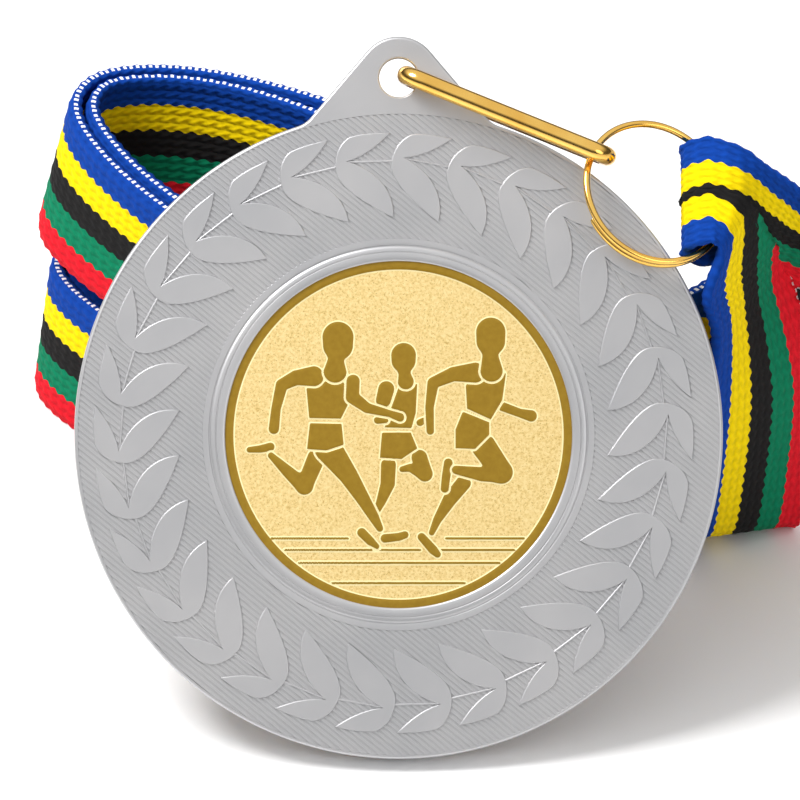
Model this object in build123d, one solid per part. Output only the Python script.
"""Sports finisher medal: a plated 45 mm disc with a stuck-in emblem, hung by a wire link
and a split ring from a woven neck ribbon that stands coiled on the table behind it.

The medal leans back against its coiled ribbon, so most pieces are drawn in the medal's own
plane: u to the right, v up the face, n out of the face. The world has +Z up and the table
at z = 0.
"""
from build123d import *
import math
import os

os.makedirs("parts", exist_ok=True)

# ---- driving dimensions, millimetres and degrees ----
LEAN = 35.0                  # the face leans back this far from upright
ORIGIN_X = -7.7              # moves the whole model so that its footprint is centred
ORIGIN_Y = -24.4

MEDAL_DIAMETER = 45.0
MEDAL_THICKNESS = 2.0
EDGE_BREAK = 0.2
HOLE_DIAMETER = 2.7
HOLE_ABOVE_CENTRE = 24.76
TAB_RADIUS = 2.85            # round top of the tab, about its hole
TAB_ROOT_HALF_WIDTH = 6.6    # where the tab's flanks meet the rim
TAB_ROOT_HEIGHT = 21.4

EMBLEM_DIAMETER = 25.0
EMBLEM_THICKNESS = 0.35
ADHESIVE_DIAMETER = 24.4
ADHESIVE_THICKNESS = 0.15
RECESS_DIAMETER = 25.3
RECESS_DEPTH = 0.6
BEAD_INNER_RADIUS = 12.65    # raised bead that frames the recess
BEAD_OUTER_RADIUS = 13.5
BEAD_HEIGHT = 0.2

LINK_WIRE = 1.3
LINK_REACH = 15.0            # centre of one end bar to centre of the other
LINK_HALF_WIDTH = 2.75       # from the loop's middle to the centre of each leg
LINK_MIDDLE_N = 1.45
LINK_BEND = 1.2
LINK_SLOPE = -22.0           # direction of the link in the medal's plane
LINK_IN_HOLE = (0.55, 0.15)  # its end bar, from the hole's centre

RING_CENTRE = (17.8, 39.25, 1.8)
RING_MEAN_RADIUS = 5.2
RING_WIRE = 0.5
RING_TILT = 30.0             # its lower left stands forward, over the medal's face

RIBBON_WIDTH = 11.0
RIBBON_THICKNESS = 0.8
STRAND_SPACING = 1.25        # between neighbouring turns of the coil
LOWER_Z = 0.1                # bottom edge of the lower and of the upper turns
UPPER_Z = 12.3
HEM_HALF_LENGTH = 3.9
HEM_INNER_RADIUS = 1.45
SEAM_LAP = 0.03              # each strand of the V runs this share of its width past the seam
STITCH = 0.3
STITCH_LENGTH = 0.9
FRONT = 1                    # the ribbon's face that looks out of the medal's face

# ---- the coil: plan of its outermost turn, clockwise from the front right ----
OUTLINE = [
    (13.5, 18.3), (8.0, 17.2), (1.0, 18.8), (-7.5, 24.4), (-16.0, 33.0), (-21.2, 39.6), (-23.0, 44.8),
    (-20.6, 49.0), (-14.0, 50.0), (-5.8, 46.7), (3.0, 41.0), (10.5, 34.0), (15.3, 27.0), (16.5, 22.0),
]
LEFT_END = 6.3               # place of the leftmost point along the outline
COIL_MIDDLE = (-3.0, 33.0)
INNER_SHRINK = 0.15          # each turn inside the second is this much smaller
COIL_TURNS = 6.75
# turns run so far -> how many spacings inside the outline the ribbon runs
INSET_KEYS = [(0, 0), (0.82, 0), (1.14, 1), (1.60, 1), (1.90, 5), (2.0, 5), (2.14, 4), (2.82, 4),
              (3.14, 3), (3.82, 3), (4.14, 2), (4.82, 2), (5.14, 1), (5.82, 1), (6.14, 0), (COIL_TURNS, 0)]
HEIGHT_KEYS = [(0, UPPER_Z), (1.88, UPPER_Z), (2.16, LOWER_Z), (COIL_TURNS, LOWER_Z)]
# how far the ribbon leans out at the left end: the lower tier's top, both tiers' foot, and how
# much farther the lower tier's foot does
TOP_OUT = 1.6
FOOT_OUT = 2.6
TIER_OUT = 0.4
# how much higher the upper tier stands at places along the outline
LIFT_KEYS = [(0, 0), (3.5, 0), (6.3, 1.7), (8.5, 0.8), (12, 0), (14, 0)]
STATIONS_PER_TURN = 22

# ---- the sewn V at the ring, in the medal's plane (u, v, n) ----
V_SEAM = [(23.9, 38.4, 1.85), (25.4, 36.2, -3.0), (26.8, 33.9, -9.0)]
V_TOP_EDGE = [(23.7, 42.4, 1.6), (26.6, 40.5, 1.2), (29.5, 38.6, 0.0)]
V_LOW_EDGE = [(22.2, 34.9, 3.0), (21.2, 31.9, 1.8), (21.9, 29.2, -1.3)]
# the folded end behind the V, upper and lower edge
FLAP_EDGES = [((24.1, 39.6, -2.6), (23.2, 34.9, -2.2)), ((25.2, 38.0, -4.0), (24.0, 34.2, -4.4))]
# free stretches in the world: (outer edge, inner edge), outer being the first woven stripe
STRAND_OUT = [
    ((34.2, 21.8, 29.6), (32.6, 27.0, 20.0)), ((39.2, 25.6, 27.0), (37.9, 28.6, 16.5)),
    ((41.3, 31.2, 25.0), (40.6, 31.6, 14.0)), ((38.6, 36.4, 23.8), (38.4, 36.2, 12.8)),
    ((32.8, 36.0, 23.3), (32.8, 36.0, 12.3)), ((26.5, 29.8, 23.2), (26.5, 29.8, 12.2)),
    ((20.2, 23.0, 23.2), (20.2, 23.0, 12.2)),
]
STRAND_BACK = [
    ((21.4, 18.2, 16.4), (29.0, 26.2, 14.4)), ((20.9, 20.2, 8.6), (28.8, 26.8, 6.2)),
    ((20.4, 23.2, 2.6), (28.2, 27.2, 1.0)), ((19.4, 27.2, 1.1), (26.8, 30.8, 0.5)),
    ((16.6, 31.4, 4.4), (22.8, 35.4, 0.5)), ((12.4, 34.4, 8.8), (16.2, 38.4, 0.5)),
]

SIN_LEAN = math.sin(math.radians(LEAN))
COS_LEAN = math.cos(math.radians(LEAN))
MEDAL_RADIUS = MEDAL_DIAMETER / 2
FACE = Plane(
    origin=(ORIGIN_X, ORIGIN_Y, 0),
    x_dir=(1, 0, 0),
    z_dir=(0, -COS_LEAN, SIN_LEAN),
)

# the ring's two directions: up to the left, where the link hooks it, and up to the right, away
RING_LEFT = Vector(-math.sqrt(0.5), math.sqrt(0.5), 0)
RING_RIGHT = (
    Vector(math.sqrt(0.5), math.sqrt(0.5), 0) * math.cos(math.radians(RING_TILT))
    - Vector(0, 0, 1) * math.sin(math.radians(RING_TILT))
)


def on_face(u, v, n):
    """A point of the medal's plane, in the world."""
    return FACE.from_local_coords(Vector(u, v, n))


def face_direction(direction):
    """A direction of the medal's plane, in the world."""
    return on_face(*direction) - on_face(0, 0, 0)


def in_world(point):
    """A point given over the table, moved with the whole model."""
    return Vector(point[0] + ORIGIN_X, point[1] + ORIGIN_Y, point[2])


# ---- medal ----
def tab_outline():
    """Tab: a round top with straight flanks that run down onto the rim."""
    centre = MEDAL_RADIUS + HOLE_ABOVE_CENTRE
    top = Pos(0, centre) * Circle(TAB_RADIUS)
    root_v = MEDAL_RADIUS + TAB_ROOT_HEIGHT
    root = Pos(0, root_v - 1.0) * Rectangle(2 * TAB_ROOT_HALF_WIDTH, 2.0)
    return make_hull((top + root).edges())


def build_medal():
    disc = Pos(0, MEDAL_RADIUS) * Circle(MEDAL_RADIUS)
    blank = extrude(disc + tab_outline(), MEDAL_THICKNESS)
    blank = chamfer(blank.faces().sort_by(Axis.Z)[-1].outer_wire().edges(), EDGE_BREAK)
    middle = Pos(0, MEDAL_RADIUS, MEDAL_THICKNESS)
    bead = middle * extrude(Circle(BEAD_OUTER_RADIUS) - Circle(BEAD_INNER_RADIUS), BEAD_HEIGHT)
    recess = middle * extrude(Circle(RECESS_DIAMETER / 2), -RECESS_DEPTH)
    hole = Pos(0, MEDAL_RADIUS + HOLE_ABOVE_CENTRE) * Cylinder(HOLE_DIAMETER / 2, 20)
    return FACE * (blank + bead - recess - hole)


def build_adhesive():
    floor = MEDAL_THICKNESS - RECESS_DEPTH
    return FACE * Pos(0, MEDAL_RADIUS, floor) * extrude(Circle(ADHESIVE_DIAMETER / 2), ADHESIVE_THICKNESS)


def build_emblem():
    floor = MEDAL_THICKNESS - RECESS_DEPTH + ADHESIVE_THICKNESS
    return FACE * Pos(0, MEDAL_RADIUS, floor) * extrude(Circle(EMBLEM_DIAMETER / 2), EMBLEM_THICKNESS)


# ---- link and ring ----
def link_end():
    """Centre of the link's end bar inside the tab's hole."""
    return LINK_IN_HOLE[0], MEDAL_RADIUS + HOLE_ABOVE_CENTRE + LINK_IN_HOLE[1]


def build_link():
    """A long loop of wire that straddles the tab, standing across the medal's plane."""
    u, v = link_end()
    slope = math.radians(LINK_SLOPE)
    along = (FACE.x_dir * math.cos(slope) + FACE.y_dir * math.sin(slope)).normalized()
    loop_plane = Plane(
        origin=on_face(u, v, LINK_MIDDLE_N) + along * (LINK_REACH / 2),
        x_dir=along,
        z_dir=along.cross(FACE.z_dir),
    )
    loop = RectangleRounded(LINK_REACH, 2 * LINK_HALF_WIDTH, LINK_BEND).face().outer_wire()
    path = loop_plane * loop
    start = path @ 0
    section = Plane(origin=start, z_dir=path % 0) * Circle(LINK_WIRE / 2)
    return sweep(section, path=path)


def build_ring():
    """Split ring: two turns of wire lying on each other."""
    turns = Pos(RING_MEAN_RADIUS, 0) * SlotOverall(2 * RING_WIRE, RING_WIRE, rotation=90)
    ring = revolve(Plane.XZ * turns, Axis.Z)
    flat = Plane(origin=on_face(*RING_CENTRE), z_dir=face_direction(RING_RIGHT.cross(RING_LEFT)))
    return flat * ring


# ---- ribbon ----
def outline_at(place):
    """The outermost turn's plan at a place along its points, as a smooth closed curve."""
    count = len(OUTLINE)
    first = math.floor(place)
    t = place - first
    a, b, c, d = (OUTLINE[(first + step) % count] for step in (-1, 0, 1, 2))
    return tuple(
        0.5 * (2 * q + (r - p) * t + (2 * p - 5 * q + 4 * r - s) * t**2 + (3 * q - p - 3 * r + s) * t**3)
        for p, q, r, s in zip(a, b, c, d)
    )


def eased(keys, turns):
    """The value at a number of turns, easing from one key to the next."""
    for (t0, v0), (t1, v1) in zip(keys, keys[1:]):
        if turns <= t1:
            share = (turns - t0) / (t1 - t0)
            return v0 + (v1 - v0) * share * share * (3 - 2 * share)
    return keys[-1][1]


def left_share(place):
    """1 at the coil's left end, falling to 0 three points away on either side."""
    away = abs(place % len(OUTLINE) - LEFT_END)
    return math.cos(math.pi * away / 6) ** 2 if away < 3 else 0.0


def coil_station(turns):
    """Top and bottom edge of the ribbon after a number of turns."""
    place = turns * len(OUTLINE)
    x, y = outline_at(place)
    ahead = outline_at(place + 0.05)
    dx, dy = ahead[0] - x, ahead[1] - y
    length = math.hypot(dx, dy)
    inset = eased(INSET_KEYS, turns)
    inward = min(inset, 1.0) * STRAND_SPACING
    shrink = 1 - INNER_SHRINK * max(0.0, inset - 1)
    x = COIL_MIDDLE[0] + (x + inward * dy / length - COIL_MIDDLE[0]) * shrink
    y = COIL_MIDDLE[1] + (y - inward * dx / length - COIL_MIDDLE[1]) * shrink
    left = left_share(place)
    bottom = eased(HEIGHT_KEYS, turns)
    level = (UPPER_Z - bottom) / (UPPER_Z - LOWER_Z)
    bottom += eased(LIFT_KEYS, place % len(OUTLINE)) * (1 - level)
    top_out = left * TOP_OUT * level
    bottom_out = left * (FOOT_OUT + TIER_OUT * level)
    top = in_world((x - top_out, y, bottom + RIBBON_WIDTH))
    low = in_world((x - bottom_out, y, bottom))
    return top, low


def hem_plane():
    """The line about which the ring turns in the hem: z along it, x to the right, y forward."""
    right_most = math.pi - math.atan(math.cos(math.radians(RING_TILT)))
    outward = RING_LEFT * math.cos(right_most) + RING_RIGHT * math.sin(right_most)
    upward = RING_LEFT * math.sin(right_most) - RING_RIGHT * math.cos(right_most)
    sagitta = RING_MEAN_RADIUS - math.sqrt(RING_MEAN_RADIUS**2 - HEM_HALF_LENGTH**2)
    centre = Vector(*RING_CENTRE) + outward * (RING_MEAN_RADIUS - sagitta / 2)
    return Plane(origin=on_face(*centre), x_dir=FACE.x_dir, z_dir=face_direction(upward))


def hem_layer():
    """From the hem's line to the middle of the ribbon wrapped round it, along minus y in front."""
    return -(HEM_INNER_RADIUS + RIBBON_THICKNESS / 2)


def lapped(edge, seam):
    """One station of the V, whose inner edge runs a little past the seam."""
    return edge, seam + (seam - edge) * SEAM_LAP


def stations():
    """(outer edge, inner edge) of the ribbon all the way from the hem round to the hem."""
    hem = hem_plane()
    middle, top, low = (
        hem.from_local_coords(Vector(0, hem_layer(), side * HEM_HALF_LENGTH)) for side in (0, 1, -1)
    )
    out = [lapped(top, middle)]
    out += [lapped(on_face(*edge), on_face(*seam)) for edge, seam in zip(V_TOP_EDGE, V_SEAM)]
    out += [(in_world(a), in_world(b)) for a, b in STRAND_OUT]
    count = round(COIL_TURNS * STATIONS_PER_TURN)
    coil = [coil_station(i * COIL_TURNS / count) for i in range(count + 1)]
    back = [lapped(low, middle)]
    back += [lapped(on_face(*edge), on_face(*seam)) for edge, seam in zip(V_LOW_EDGE, V_SEAM)]
    back += [(in_world(a), in_world(b)) for a, b in STRAND_BACK]
    return out, coil, back[::-1]


def section(station, before, after):
    """The four corners of the ribbon's section across one station."""
    top, low = station
    run = after[0] + after[1] - before[0] - before[1]
    across = (top - low).normalized()
    out = run.cross(across).normalized() * (RIBBON_THICKNESS / 2)
    return [top + out, low + out, low - out, top - out]


def flat_face(*corners):
    return Face(Wire.make_polygon(corners))


def strip(run):
    """One stretch of ribbon through its stations."""
    last = len(run) - 1
    rings = [
        section(run[i], run[max(i - 1, 0)], run[min(i + 1, last)]) for i in range(last + 1)
    ]
    faces = [flat_face(*rings[0][::-1]), flat_face(*rings[-1])]
    for here, there in zip(rings, rings[1:]):
        # both broad faces are split along the same diagonal, so the ribbon keeps its thickness
        for i, j in ((0, 1), (3, 0)):
            faces.append(flat_face(here[i], here[j], there[j]))
            faces.append(flat_face(here[i], there[j], there[i]))
        for i, j in ((1, 2), (2, 3)):
            faces.append(flat_face(here[i], here[j], there[i]))
            faces.append(flat_face(here[j], there[j], there[i]))
    return Solid(Shell(faces))


def build_hem():
    """The ribbon's end folded round the ring and brought back behind the V."""
    inner = HEM_INNER_RADIUS
    outer = HEM_INNER_RADIUS + RIBBON_THICKNESS
    half = Circle(outer) - Circle(inner) - Pos(outer, 0) * Rectangle(2 * outer, 4 * outer)
    return hem_plane() * extrude(half, HEM_HALF_LENGTH, both=True)


def build_flap():
    """The folded end behind the V, sewn down."""
    hem = hem_plane()
    start = tuple(
        hem.from_local_coords(Vector(0, -hem_layer(), side * HEM_HALF_LENGTH)) for side in (1, -1)
    )
    return strip([start] + [(on_face(*a), on_face(*b)) for a, b in FLAP_EDGES])


def build_ribbon(out, coil, back):
    """The whole ribbon, built in two lengths that meet half way round the coil."""
    run = out + coil + back
    half = len(run) // 2
    first = strip(run[: half + 1])
    second = strip(run[half:])
    return first + second + build_hem() + build_flap()


def stitch_row(station, before, after, count, side):
    """Short stitches lying across the ribbon on one of its faces."""
    top, low = station
    across = (top - low).normalized()
    run = after[0] + after[1] - before[0] - before[1]
    out = run.cross(across).normalized() * side * (RIBBON_THICKNESS + STITCH / 2) / 2
    pitch = (top - low) / count
    return [
        Plane(origin=low + pitch * (i + 0.5) + out, z_dir=across) * Cylinder(STITCH / 2, STITCH_LENGTH)
        for i in range(count)
    ]


def build_stitches(out, back):
    """The thread that closes the hem: a row on the front of each strand and one on the flap."""
    lower = back[::-1]
    flap = [(on_face(*a), on_face(*b)) for a, b in FLAP_EDGES]
    rows = stitch_row(out[1], out[0], out[2], 3, FRONT)
    rows += stitch_row(lower[1], lower[2], lower[0], 3, -FRONT)
    rows += stitch_row(flap[0], flap[0], flap[1], 4, -FRONT)
    return Compound(children=rows)


def run_length(run):
    middles = [(top + low) * 0.5 for top, low in run]
    return sum((b - a).length for a, b in zip(middles, middles[1:]))


out, coil, back = stations()
print("ribbon length", round(run_length(out + coil + back), 1))
nodes = {
    "medal_body": build_medal(),
    "emblem_adhesive": build_adhesive(),
    "emblem_disc": build_emblem(),
    "tab_link": build_link(),
    "split_ring": build_ring(),
    "neck_ribbon": build_ribbon(out, coil, back),
    "hem_stitching": build_stitches(out, back),
}
for name, shape in nodes.items():
    export_step(shape, f"parts/{name}.step")
